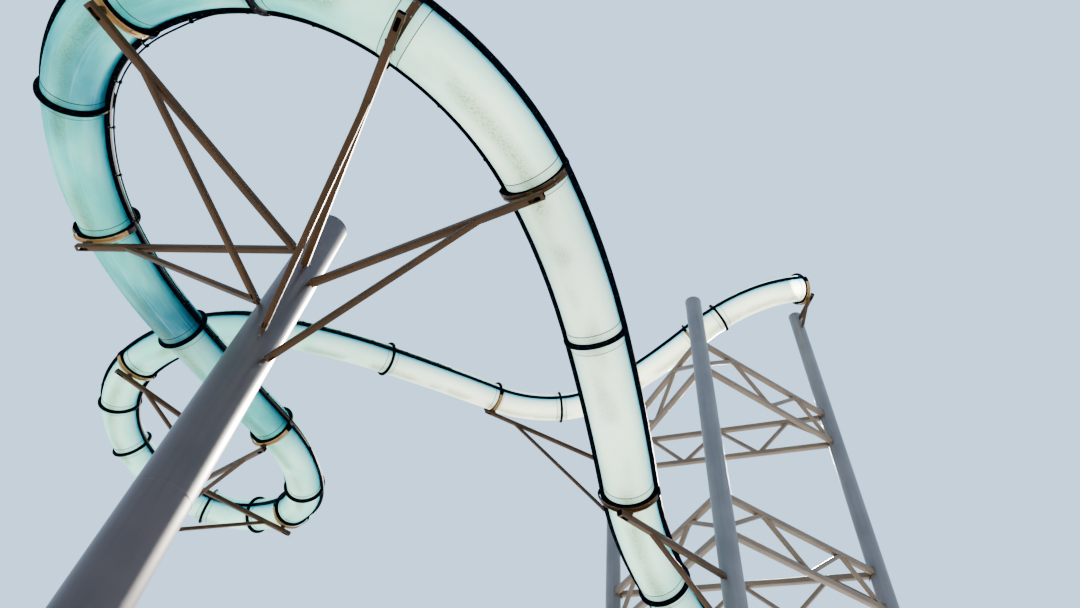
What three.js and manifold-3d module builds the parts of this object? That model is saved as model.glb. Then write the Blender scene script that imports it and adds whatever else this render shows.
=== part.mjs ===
// Water slide tower: an enclosed tube slide that winds down round a lattice tower and two masts.
// Millimetres, +Z up. The origin is on the ground at the centre of the front mast.
import * as THREE from 'three';
import { mergeVertices } from 'three/addons/utils/BufferGeometryUtils.js';
import Module from 'manifold-3d';

const wasm = await Module();
wasm.setup();

// Space left between pieces that touch
const GAP = 0.3;

// Slide tube: two half shells bolted along level side strips, with a ring flange at each end
const SHELL_RADIUS = 430;
const SHELL_WALL = 15;
const STRIP_REACH = 520;
const STRIP_HEIGHT = 50;
const FLANGE_RADIUS = 530;
const FLANGE_WIDTH = 30;
const TUBE_SIDES = 12;
const TURN_PER_STEP = 15;

// Saddle bands that carry the tube under a pair of ring flanges
const SADDLE_THICKNESS = 60;
const SADDLE_WIDTH = 120;
const SADDLE_REACH = 75;
const SADDLE_CLEARANCE = 0.8;

// Arms: hollow square beams with a brace below
const BEAM_SIZE = 110;
const BEAM_WALL = 10;
const BEAM_POCKET = 180;
const FOOT_SIZE = 130;
const FOOT_SUNK = 25;
const FOOT_HEIGHT = 100;
const BRACE_SIZE = 85;
const BRACE_SPOT = 0.18;
// Stubs on the columns that the beams and braces are bolted to, each thinner than its member
const STUB_INSET = 20;
const STUB_LENGTH = 80;

// Lattice bars
const CHORD_SIZE = 130;
const WEB_SIZE = 90;

// Columns
const COLUMN_SIDES = 24;
const BASE_PLATE_SIZE = 1100;
const BASE_PLATE_THICKNESS = 40;
const CAP_OVERHANG = 5;
const CAP_THICKNESS = 20;

// The slide from its start to its open end. Each section has its level length, its turn in
// degrees (left is positive, seen from above) and its fall at the upper end (drop per level run).
const SLIDE_START = { x: 12060, y: 6230, z: 20590, heading: 181 };
const SLIDE_SECTIONS = [
  { length: 2750, turn: -37.5, fall: 0.42 },
  { length: 1010, turn: -11, fall: 0.42 },
  { length: 2960, turn: 13, fall: 0.31 },
  { length: 1840, turn: 30.5, fall: 0.38 },
  { length: 2290, turn: 32.5, fall: 0.21 },
  { length: 3750, turn: 4, fall: 0.18 },
  { length: 3210, turn: -5, fall: 0.30 },
  { length: 1790, turn: -44.5, fall: 0.42 },
  { length: 1560, turn: -29, fall: 0.42 },
  { length: 1420, turn: -33.5, fall: 0.26 },
  { length: 1460, turn: -28.5, fall: 0.20 },
  { length: 1400, turn: -22.5, fall: 0.14 },
  { length: 1490, turn: -31, fall: 0.10 },
  { length: 1580, turn: -44, fall: 0.06 },
  { length: 1640, turn: -29.5, fall: 0.07 },
  { length: 1680, turn: -29, fall: 0.25 },
  { length: 2670, turn: -28.5, fall: 0.11 },
  { length: 3360, turn: 2, fall: 0.13 },
  { length: 2660, turn: 15, fall: 0.14 },
  { length: 2530, turn: 27.5, fall: 0.10 },
  { length: 2110, turn: 36.5, fall: 0.11 },
  { length: 2060, turn: 28, fall: 0.08 },
  { length: 1870, turn: 31.5, fall: 0.15 },
  { length: 2530, turn: 29.5, fall: 0.04 },
  { length: 2640, turn: 9, fall: 0.03 },
  { length: 2980, turn: 5, fall: 0.26 },
  { length: 2250, turn: -18.5, fall: 0.19 },
  { length: 2500, turn: -8, fall: 0.24 },
];
const SLIDE_END_FALL = 0.2;
// Sections in the tinted blue-green resin; the others are milky white
const TINTED_SECTIONS = [6, 7, 8, 9, 10, 18, 19, 20, 21];

// Columns: place, height and radius at foot and head
const COLUMNS = {
  front_mast: { x: 0, y: 0, height: 10980, footRadius: 370, headRadius: 265 },
  rear_mast: { x: -4590, y: 9000, height: 13900, footRadius: 300, headRadius: 250 },
  near_leg: { x: 7970, y: 5130, height: 17440, footRadius: 218, headRadius: 218 },
  far_leg: { x: 6530, y: 9700, height: 17200, footRadius: 193, headRadius: 193 },
  right_leg: { x: 12240, y: 7200, height: 20300, footRadius: 203, headRadius: 203 },
};

// Arms: the ring they carry (rings count from 0 at the start), their column, how far the beam's
// foot on the column lies above the saddle, how far the brace's foot lies below the beam's, and
// how far the beam runs on past the middle of the tube
const ARMS = [
  { ring: 0, column: 'right_leg', climb: 0, braceDrop: 600, overhang: 300 },
  { ring: 2, column: 'near_leg', climb: -1200, braceDrop: 1200, overhang: 300 },
  { ring: 5, column: 'far_leg', climb: -1500, braceDrop: 1800, overhang: 280 },
  { ring: 9, column: 'rear_mast', climb: 150, braceDrop: 950, overhang: 330 },
  { ring: 15, column: 'rear_mast', climb: -50, braceDrop: 1400, overhang: 250 },
  { ring: 17, column: 'rear_mast', climb: 430, braceDrop: 850, overhang: 80 },
  { ring: 19, column: 'front_mast', climb: -60, braceDrop: 1550, overhang: 150 },
  { ring: 21, column: 'front_mast', climb: 0, braceDrop: 1500, overhang: 130 },
  { ring: 23, column: 'front_mast', climb: 0, braceDrop: 1700, overhang: 430 },
  { ring: 24, column: 'front_mast', climb: -180, braceDrop: 1850, overhang: 200 },
  { ring: 26, column: 'near_leg', climb: 450, braceDrop: 1300, overhang: 250 },
  { ring: 28, column: 'near_leg', climb: 0, braceDrop: 900, overhang: 250 },
];
// The far leg carries this ring on its own head
const HEAD_RING = 3;
const STOOL_SIZE = 160;
const SEAT_PLATE_SIZE = 560;
const SEAT_PLATE_THICKNESS = 40;

// Lattices between the legs: heights of the two chords, and the zigzag of webs as places along
// the span (0 to 1) and up the depth (0 at the lower chord, 1 at the upper)
const LEVELS = {
  upper: { top: 15730, bottom: 14730 },
  lower: { top: 10830, bottom: 9920 },
};
const SHORT_ZIGZAG = [[0, 0.1], [0.25, 1], [0.49, 0], [0.74, 1], [0.95, 0]];
const LONG_ZIGZAG = [[0, 0.1], [0.185, 1], [0.335, 0], [0.505, 1], [0.67, 0], [0.825, 1], [1, 0.1]];
const LATTICE_SIDES = [
  { name: 'left', from: 'near_leg', to: 'far_leg', zigzag: SHORT_ZIGZAG },
  { name: 'right', from: 'near_leg', to: 'right_leg', zigzag: SHORT_ZIGZAG },
  { name: 'back', from: 'far_leg', to: 'right_leg', zigzag: LONG_ZIGZAG },
];

const UP = new THREE.Vector3(0, 0, 1);

const materials = {
  tinted: new THREE.MeshStandardMaterial({ color: 0x4fa9bd, roughness: 0.3, metalness: 0 }),
  milky: new THREE.MeshStandardMaterial({ color: 0xdfe7da, roughness: 0.3, metalness: 0 }),
  mast: new THREE.MeshStandardMaterial({ color: 0x8b8f94, roughness: 0.5, metalness: 0.2 }),
  leg: new THREE.MeshStandardMaterial({ color: 0xa9b2ba, roughness: 0.5, metalness: 0.2 }),
  arm: new THREE.MeshStandardMaterial({ color: 0x6e6150, roughness: 0.5, metalness: 0.2 }),
};

const tower = new THREE.Group();

// Adds one named piece, whose geometry is measured from the given place
function addPiece(name, geometry, place, material) {
  geometry.computeVertexNormals();
  const mesh = new THREE.Mesh(geometry, material);
  mesh.name = name;
  mesh.position.copy(place);
  tower.add(mesh);
}

// Turns a closed geometry into a solid that can be joined and cut
function solidFrom(geometry) {
  geometry.deleteAttribute('normal');
  geometry.deleteAttribute('uv');
  const merged = mergeVertices(geometry, 0.001);
  return new wasm.Manifold(new wasm.Mesh({
    numProp: 3,
    vertProperties: Float32Array.from(merged.attributes.position.array),
    triVerts: Uint32Array.from(merged.index.array),
  }));
}

function geometryFrom(solid) {
  const { vertProperties, triVerts } = solid.getMesh();
  const geometry = new THREE.BufferGeometry();
  geometry.setAttribute('position', new THREE.BufferAttribute(vertProperties, 3));
  return geometry.setIndex(new THREE.BufferAttribute(triVerts, 1));
}

function joined(solids) {
  return solids.reduce((whole, solid) => whole.add(solid));
}

function polygonPoints(radius, sides) {
  const points = [];
  for (let i = 0; i < sides; i += 1) {
    const angle = (2 * Math.PI * i) / sides;
    points.push(new THREE.Vector2(radius * Math.cos(angle), radius * Math.sin(angle)));
  }
  return points;
}

// A square bar from one point to another, with its side faces upright
function bar(from, to, size) {
  const axis = to.clone().sub(from);
  const length = axis.length();
  axis.normalize();
  const side = UP.clone().cross(axis).normalize();
  const frame = new THREE.Matrix4().makeBasis(side, axis.clone().cross(side), axis);
  frame.setPosition(from.clone().add(to).multiplyScalar(0.5));
  return solidFrom(new THREE.BoxGeometry(size, size, length).applyMatrix4(frame));
}

// Slide tube

// The middle line of one section, measured from its upper end
class SectionCurve extends THREE.Curve {
  constructor({ length, turn, fall }, heading, endFall) {
    super();
    this.length = length;
    this.turn = THREE.MathUtils.degToRad(turn);
    this.heading = heading;
    this.fall = fall;
    this.endFall = endFall;
  }

  getPoint(t) {
    const radius = this.length / this.turn;
    const angle = this.heading + this.turn * t;
    const meanFall = this.fall + ((this.endFall - this.fall) * t) / 2;
    return new THREE.Vector3(
      radius * (Math.sin(angle) - Math.sin(this.heading)),
      radius * (Math.cos(this.heading) - Math.cos(angle)),
      -this.length * t * meanFall,
    );
  }

  getTangent(t) {
    const angle = this.heading + this.turn * t;
    const fall = THREE.MathUtils.lerp(this.fall, this.endFall, t);
    return new THREE.Vector3(Math.cos(angle), Math.sin(angle), -fall).normalize();
  }
}

// A frame with X level across the tube, Y up across it and Z along it
function frameAcross(centre, tangent) {
  const side = UP.clone().cross(tangent).normalize();
  const frame = new THREE.Matrix4().makeBasis(side, tangent.clone().cross(side), tangent);
  return frame.setPosition(centre);
}

// A round outline whose two sideways corners are opened up to the height of the side strips.
// With a reach, the strips stand out of it; without one, it stays round.
function roundOutline(radius, reach) {
  const half = STRIP_HEIGHT / 2;
  const slope = Math.tan(Math.PI / TUBE_SIDES);
  const onFlat = (height) => new THREE.Vector2(radius - height * slope, height);
  const root = onFlat(reach ? half : STRIP_HEIGHT);
  const tip = reach ? new THREE.Vector2(reach, half) : onFlat(half);
  const mirrored = [root, tip].map(({ x, y }) => new THREE.Vector2(x, -y));
  const strip = [mirrored[0], mirrored[1], tip, root];
  return polygonPoints(radius, TUBE_SIDES).flatMap((point, i) => {
    if (i === 0) return strip;
    if (i === TUBE_SIDES / 2) return strip.map(({ x, y }) => new THREE.Vector2(-x, -y));
    return [point];
  });
}

// Skins a loop of rings, all with as many points, into a closed solid around the bore
function skin(rings) {
  const index = [];
  const count = rings[0].length;
  rings.forEach((ring, r) => {
    const here = r * count;
    const next = ((r + 1) % rings.length) * count;
    for (let i = 0; i < count; i += 1) {
      const j = (i + 1) % count;
      index.push(here + i, here + j, next + j, here + i, next + j, next + i);
    }
  });
  return new THREE.BufferGeometry().setFromPoints(rings.flat()).setIndex(index);
}

// One section: out along the flange, shell and flange, and back along the bore
function tubeSection(curve) {
  const turned = Math.abs(THREE.MathUtils.radToDeg(curve.turn));
  const steps = Math.max(2, Math.round(turned / TURN_PER_STEP));
  const ringAt = (outline, distance) => {
    const t = distance / curve.length;
    const frame = frameAcross(curve.getPoint(t), curve.getTangent(t));
    return outline.map(({ x, y }) => new THREE.Vector3(x, y, 0).applyMatrix4(frame));
  };
  const flange = roundOutline(FLANGE_RADIUS);
  const shell = roundOutline(SHELL_RADIUS, STRIP_REACH);
  const bore = roundOutline(SHELL_RADIUS - SHELL_WALL);
  const start = GAP / 2;
  const end = curve.length - GAP / 2;
  const stations = [start + FLANGE_WIDTH];
  for (let i = 1; i < steps; i += 1) stations.push((curve.length * i) / steps);
  stations.push(end - FLANGE_WIDTH);
  return skin([
    ringAt(flange, start),
    ringAt(flange, start + FLANGE_WIDTH),
    ...stations.map((distance) => ringAt(shell, distance)),
    ringAt(flange, end - FLANGE_WIDTH),
    ringAt(flange, end),
    ringAt(bore, end),
    ...stations.slice(1, -1).reverse().map((distance) => ringAt(bore, distance)),
    ringAt(bore, start),
  ]);
}

// Lays the sections end to end and returns the rings between them
function buildSlide() {
  const place = new THREE.Vector3(SLIDE_START.x, SLIDE_START.y, SLIDE_START.z);
  let heading = THREE.MathUtils.degToRad(SLIDE_START.heading);
  const rings = [];
  SLIDE_SECTIONS.forEach((section, i) => {
    const endFall = SLIDE_SECTIONS[i + 1]?.fall ?? SLIDE_END_FALL;
    const curve = new SectionCurve(section, heading, endFall);
    const material = TINTED_SECTIONS.includes(i) ? materials.tinted : materials.milky;
    const number = String(i + 1).padStart(2, '0');
    addPiece(`tube_section_${number}`, tubeSection(curve), place, material);
    rings.push({ centre: place.clone(), tangent: curve.getTangent(0) });
    place.add(curve.getPoint(1));
    heading += curve.turn;
    if (i === SLIDE_SECTIONS.length - 1) {
      rings.push({ centre: place.clone(), tangent: curve.getTangent(1) });
    }
  });
  return rings;
}

// Saddles and arms

// The band under a ring, measured from the ring's centre
function saddleBand(ring) {
  const inner = FLANGE_RADIUS + SADDLE_CLEARANCE / Math.cos(Math.PI / TUBE_SIDES);
  const outer = inner + SADDLE_THICKNESS;
  const step = 360 / TUBE_SIDES;
  const flat = Math.cos(Math.PI / TUBE_SIDES);
  const corners = [];
  for (let angle = -SADDLE_REACH; angle <= SADDLE_REACH; angle += step / 2) {
    if (Math.abs(angle) === SADDLE_REACH) corners.push([angle, flat]);
    else if (angle % step === 0) corners.push([angle, 1]);
  }
  const arc = (radius) => corners.map(([angle, share]) => {
    const turned = THREE.MathUtils.degToRad(angle - 90);
    return new THREE.Vector2(radius * share * Math.cos(turned), radius * share * Math.sin(turned));
  });
  const shape = new THREE.Shape([...arc(outer), ...arc(inner).reverse()]);
  const band = new THREE.ExtrudeGeometry(shape, { depth: SADDLE_WIDTH, bevelEnabled: false });
  const start = ring.tangent.clone().multiplyScalar(-SADDLE_WIDTH / 2);
  return solidFrom(band.applyMatrix4(frameAcross(start, ring.tangent)));
}

// The lowest point of the saddle under a ring
function saddleFoot(ring) {
  const side = UP.clone().cross(ring.tangent).normalize();
  const upAcross = ring.tangent.clone().cross(side);
  return ring.centre.clone().addScaledVector(upAcross, -FLANGE_RADIUS - SADDLE_THICKNESS);
}

function columnRadiusAt(column, height) {
  return THREE.MathUtils.lerp(column.footRadius, column.headRadius, height / column.height);
}

// The straight line of a beam or brace from its column's axis to its far end
function memberLine(columnName, height, to) {
  const column = COLUMNS[columnName];
  const from = new THREE.Vector3(column.x, column.y, height);
  const axis = to.clone().sub(from).normalize();
  const level = Math.hypot(axis.x, axis.y);
  const stubEnd = columnRadiusAt(column, height) / level + STUB_LENGTH;
  return {
    from,
    stub: from.clone().addScaledVector(axis, stubEnd),
    seat: from.clone().addScaledVector(axis, stubEnd + GAP),
    to,
  };
}

function armLines({ ring, column, climb, braceDrop, overhang }, rings) {
  const under = saddleFoot(rings[ring]).addScaledVector(UP, -FOOT_HEIGHT);
  const axis = new THREE.Vector3(COLUMNS[column].x, COLUMNS[column].y, under.z + climb);
  const outward = under.clone().sub(axis).normalize();
  const beam = memberLine(column, axis.z, under.clone().addScaledVector(outward, overhang));
  const spot = under.clone().lerp(axis, BRACE_SPOT);
  const brace = memberLine(column, axis.z - braceDrop, spot);
  return { beam, brace };
}

function buildArm(arm, rings, lines) {
  const { centre } = rings[arm.ring];
  const local = (point) => point.clone().sub(centre);
  const { beam, brace } = lines;
  const tip = local(beam.to);
  // The beam's end is open, as far in as the foot at most
  const depth = Math.min(BEAM_POCKET, arm.overhang - FOOT_SIZE / 2);
  const pocketStart = tip.clone().addScaledVector(local(beam.seat).sub(tip).normalize(), depth);
  const pocketEnd = tip.clone().addScaledVector(tip.clone().sub(pocketStart).normalize(), BEAM_WALL);
  const pocket = bar(pocketStart, pocketEnd, BEAM_SIZE - 2 * BEAM_WALL);
  const foot = new THREE.BoxGeometry(FOOT_SIZE, FOOT_SIZE, FOOT_HEIGHT + FOOT_SUNK);
  const footTop = local(saddleFoot(rings[arm.ring]));
  foot.translate(footTop.x, footTop.y, footTop.z + (FOOT_SUNK - FOOT_HEIGHT) / 2);
  const solid = joined([
    bar(local(beam.seat), tip, BEAM_SIZE).subtract(pocket),
    bar(local(brace.seat), local(brace.to), BRACE_SIZE),
    solidFrom(foot),
    saddleBand(rings[arm.ring]),
  ]);
  addPiece(`arm_ring_${String(arm.ring).padStart(2, '0')}`, geometryFrom(solid), centre, materials.arm);
}

// The saddle that stands on the far leg's head
function buildHeadSaddle(rings) {
  const ring = rings[HEAD_RING];
  const { x, y, height } = COLUMNS.far_leg;
  const bottom = height + CAP_THICKNESS + GAP;
  const plate = new THREE.BoxGeometry(SEAT_PLATE_SIZE, SEAT_PLATE_SIZE, SEAT_PLATE_THICKNESS);
  plate.translate(x, y, bottom + SEAT_PLATE_THICKNESS / 2);
  const foot = saddleFoot(ring);
  const stoolHeight = foot.z + FOOT_SUNK - bottom;
  const stool = new THREE.BoxGeometry(STOOL_SIZE, STOOL_SIZE, stoolHeight);
  stool.translate(foot.x, foot.y, bottom + stoolHeight / 2);
  const { x: ringX, y: ringY, z: ringZ } = ring.centre;
  [plate, stool].forEach((geometry) => geometry.translate(-ringX, -ringY, -ringZ));
  const solid = joined([solidFrom(plate), solidFrom(stool), saddleBand(ring)]);
  addPiece('head_saddle', geometryFrom(solid), ring.centre, materials.arm);
}

// Columns

function buildColumn(name, stubs) {
  const { x, y, height, footRadius, headRadius } = COLUMNS[name];
  const place = new THREE.Vector3(x, y, 0);
  const plate = new THREE.BoxGeometry(BASE_PLATE_SIZE, BASE_PLATE_SIZE, BASE_PLATE_THICKNESS);
  plate.translate(0, 0, BASE_PLATE_THICKNESS / 2);
  const shaft = new THREE.CylinderGeometry(headRadius, footRadius, height, COLUMN_SIDES);
  shaft.rotateX(Math.PI / 2).translate(0, 0, height / 2);
  const capRadius = headRadius + CAP_OVERHANG;
  const cap = new THREE.CylinderGeometry(capRadius, capRadius, CAP_THICKNESS, COLUMN_SIDES);
  cap.rotateX(Math.PI / 2).translate(0, 0, height + CAP_THICKNESS / 2);
  const sockets = stubs.map(({ line, size }) => {
    const from = line.from.clone().sub(place);
    const to = line.stub.clone().sub(place);
    return bar(from, to, size - STUB_INSET);
  });
  const solid = joined([plate, shaft, cap].map(solidFrom).concat(sockets));
  const isMast = name.endsWith('mast');
  addPiece(name, geometryFrom(solid), place, isMast ? materials.mast : materials.leg);
}

// Lattices

function columnCut(name, place) {
  const { x, y, height, footRadius } = COLUMNS[name];
  const radius = footRadius + GAP;
  const cut = new THREE.CylinderGeometry(radius, radius, height, COLUMN_SIDES);
  cut.rotateX(Math.PI / 2).translate(x - place.x, y - place.y, height / 2);
  return solidFrom(cut);
}

function buildLattice(levelName, side) {
  const level = LEVELS[levelName];
  const start = COLUMNS[side.from];
  const end = COLUMNS[side.to];
  const place = new THREE.Vector3(start.x, start.y, 0);
  const span = new THREE.Vector3(end.x - start.x, end.y - start.y, 0);
  const at = ([share, depth]) => span.clone().multiplyScalar(share)
    .setZ(THREE.MathUtils.lerp(level.bottom, level.top, depth));
  const bars = [0, 1].map((depth) => bar(at([0, depth]), at([1, depth]), CHORD_SIZE));
  for (let i = 1; i < side.zigzag.length; i += 1) {
    bars.push(bar(at(side.zigzag[i - 1]), at(side.zigzag[i]), WEB_SIZE));
  }
  const solid = joined(bars).subtract(columnCut(side.from, place)).subtract(columnCut(side.to, place));
  addPiece(`lattice_${levelName}_${side.name}`, geometryFrom(solid), place, materials.arm);
}

const rings = buildSlide();
const arms = ARMS.map((arm) => ({ arm, lines: armLines(arm, rings) }));
arms.forEach(({ arm, lines }) => buildArm(arm, rings, lines));
buildHeadSaddle(rings);
Object.keys(COLUMNS).forEach((name) => {
  const stubs = arms.filter(({ arm }) => arm.column === name).flatMap(({ lines }) => [
    { line: lines.beam, size: BEAM_SIZE },
    { line: lines.brace, size: BRACE_SIZE },
  ]);
  buildColumn(name, stubs);
});
Object.keys(LEVELS).forEach((levelName) => {
  LATTICE_SIDES.forEach((side) => buildLattice(levelName, side));
});

export default tower;
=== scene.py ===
"""The looks of a water slide tower: a closed tube slide round a lattice tower and two masts.

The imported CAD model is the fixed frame. Lengths are in metres, and +Z is up.
"""

import logging
import math
from collections.abc import Callable, Iterable, Sequence
from dataclasses import dataclass, field
from enum import Enum

import bpy
from mathutils import Matrix, Vector


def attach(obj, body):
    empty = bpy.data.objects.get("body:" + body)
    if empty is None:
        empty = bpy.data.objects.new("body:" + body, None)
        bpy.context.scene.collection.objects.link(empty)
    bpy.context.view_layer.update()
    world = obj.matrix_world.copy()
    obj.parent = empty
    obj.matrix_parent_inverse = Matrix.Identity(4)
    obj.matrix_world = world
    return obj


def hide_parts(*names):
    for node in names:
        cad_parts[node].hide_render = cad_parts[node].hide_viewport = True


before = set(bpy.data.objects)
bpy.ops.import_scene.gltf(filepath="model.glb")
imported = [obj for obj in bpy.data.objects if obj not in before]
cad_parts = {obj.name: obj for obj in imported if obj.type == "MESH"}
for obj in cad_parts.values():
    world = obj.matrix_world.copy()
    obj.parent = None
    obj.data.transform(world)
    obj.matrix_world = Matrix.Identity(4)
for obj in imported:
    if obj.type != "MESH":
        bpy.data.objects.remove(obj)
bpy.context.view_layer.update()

LOG = logging.getLogger("slide_tower")
BODY = "root"
UP = Vector((0.0, 0.0, 1.0))
# The way down across a place, such as one on the tube
DOWN_ACROSS = Vector((0.0, -1.0, 0.0))
MM = 0.001
SMOOTH_ANGLE = math.radians(38)
# Width of the gap that the CAD model leaves where pieces meet
GAP = 0.0003
CORNERS = ((1, 1), (-1, 1), (-1, -1), (1, -1))
# The lower flat of a rounded outline follows its twelfth point
LOWER_FLAT = 11

Tree = bpy.types.NodeTree
Socket = bpy.types.NodeSocket
Outline = list[tuple[float, float]]
Rows = Sequence[Sequence[Vector]]


# Colours and shader nodes


def linear(code: str) -> tuple[float, float, float, float]:
    """Turns an sRGB hex code into linear colour.

    Args:
        code: Six hex digits, without a hash.

    Returns:
        Red, green, blue and a full alpha.
    """
    shares = [int(code[i : i + 2], 16) / 255 for i in (0, 2, 4)]
    red, green, blue = (
        s / 12.92 if s <= 0.04045 else ((s + 0.055) / 1.055) ** 2.4 for s in shares
    )
    return red, green, blue, 1.0


def add_node(
    tree: Tree,
    kind: str,
    settings: dict[str, object] | None = None,
    values: dict[str | int, object] | None = None,
    links: dict[str | int, Socket] | None = None,
) -> bpy.types.Node:
    """Adds one shader node with its settings, socket values and incoming links.

    Args:
        tree: The node tree it goes into.
        kind: The node's type name.
        settings: Properties of the node itself.
        values: Values for its input sockets.
        links: Output sockets that feed its input sockets.

    Returns:
        The new node.
    """
    node = tree.nodes.new(kind)
    for name, value in (settings or {}).items():
        setattr(node, name, value)
    for name, value in (values or {}).items():
        node.inputs[name].default_value = value
    for name, source in (links or {}).items():
        tree.links.new(source, node.inputs[name])
    return node


def ramp(tree: Tree, share: Socket, stops: Sequence[tuple[float, str]]) -> Socket:
    """Turns a share into a colour that runs from stop to stop.

    Args:
        tree: The node tree.
        share: The share's socket.
        stops: The share and the hex code of each stop, in order.

    Returns:
        The colour socket.
    """
    node = add_node(tree, "ShaderNodeValToRGB", links={"Fac": share})
    elements = node.color_ramp.elements
    for at, _ in stops[1:-1]:
        elements.new(at)
    for element, (at, code) in zip(elements, stops):
        element.position, element.color = at, linear(code)
    return node.outputs["Color"]


@dataclass(frozen=True)
class Finish:
    """A material that is made once and shared by every piece that wears it."""

    name: str

    def material(self) -> bpy.types.Material:
        """Finds this finish's material, or makes it.

        Returns:
            The material.
        """
        found = bpy.data.materials.get(self.name)
        if found:
            return found
        made = bpy.data.materials.new(self.name)
        made.use_nodes = True
        tree = made.node_tree
        tree.nodes.clear()
        output = add_node(tree, "ShaderNodeOutputMaterial")
        tree.links.new(self.surface(tree), output.inputs["Surface"])
        return made

    def surface(self, tree: Tree) -> Socket:
        """Builds the shader.

        Args:
            tree: The material's node tree.

        Returns:
            The shader socket.
        """
        raise NotImplementedError


FinishRule = Finish | Callable[[int, int], Finish | None]


def object_place(tree: Tree) -> Socket:
    """Returns a socket with the place on the object, in metres."""
    return add_node(tree, "ShaderNodeTexCoord").outputs["Object"]


def mottle(tree: Tree, place: Socket, size_mm: float, detail: float) -> Socket:
    """Adds cloudy noise with patches of about a size, and octaves of finer detail."""
    values = {"Scale": 1 / (size_mm * MM), "Detail": detail}
    return add_node(tree, "ShaderNodeTexNoise", None, values, {"Vector": place}).outputs["Fac"]


def stepped(
    tree: Tree,
    value: Socket,
    source: tuple[float, float],
    target: tuple[float, float] = (0.0, 1.0),
) -> Socket:
    """Maps a value from one range to another, held at both ends.

    Args:
        tree: The node tree.
        value: The value's socket.
        source: The range that it comes from.
        target: The range that it goes to.

    Returns:
        The mapped value.
    """
    values = dict(zip(("From Min", "From Max", "To Min", "To Max"), (*source, *target)))
    return add_node(tree, "ShaderNodeMapRange", None, values, {"Value": value}).outputs["Result"]


def product(tree: Tree, first: Socket, second: Socket) -> Socket:
    """Multiplies two values."""
    links = {0: first, 1: second}
    return add_node(tree, "ShaderNodeMath", {"operation": "MULTIPLY"}, None, links).outputs[0]


def stretched(tree: Tree, place: Socket, scale: tuple[float, float, float]) -> Socket:
    """Scales a place, so that a pattern on it is drawn out where the scale is small."""
    values, links = {"Scale": scale}, {"Vector": place}
    return add_node(tree, "ShaderNodeMapping", None, values, links).outputs["Vector"]


def blend(tree: Tree, share: Socket, low: Socket | str, high: Socket | str) -> Socket:
    """Blends two colours by a share.

    Args:
        tree: The node tree.
        share: The socket that says how far towards the second colour.
        low: Socket or hex code of the first colour.
        high: Socket or hex code of the second colour.

    Returns:
        The colour socket.
    """
    values, links = {}, {0: share}
    for socket, colour in ((6, low), (7, high)):
        if isinstance(colour, str):
            values[socket] = linear(colour)
        else:
            links[socket] = colour
    return add_node(tree, "ShaderNodeMix", {"data_type": "RGBA"}, values, links).outputs[2]


def bump(tree: Tree, height: Socket, strength: float, relief_mm: float) -> Socket:
    """Turns a height into a normal with relief of about the given depth."""
    values = {"Strength": strength, "Distance": relief_mm * MM}
    return add_node(tree, "ShaderNodeBump", None, values, {"Height": height}).outputs["Normal"]


def principled(
    tree: Tree, colour: Socket, values: dict[str, float], normal: Socket | None = None
) -> Socket:
    """Adds the general surface shader.

    Args:
        tree: The node tree.
        colour: The colour socket.
        values: Values for its other sockets.
        normal: The normal, where the surface has relief.

    Returns:
        The shader socket.
    """
    links = {"Base Color": colour}
    if normal is not None:
        links["Normal"] = normal
    return add_node(tree, "ShaderNodeBsdfPrincipled", None, values, links).outputs["BSDF"]


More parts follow.
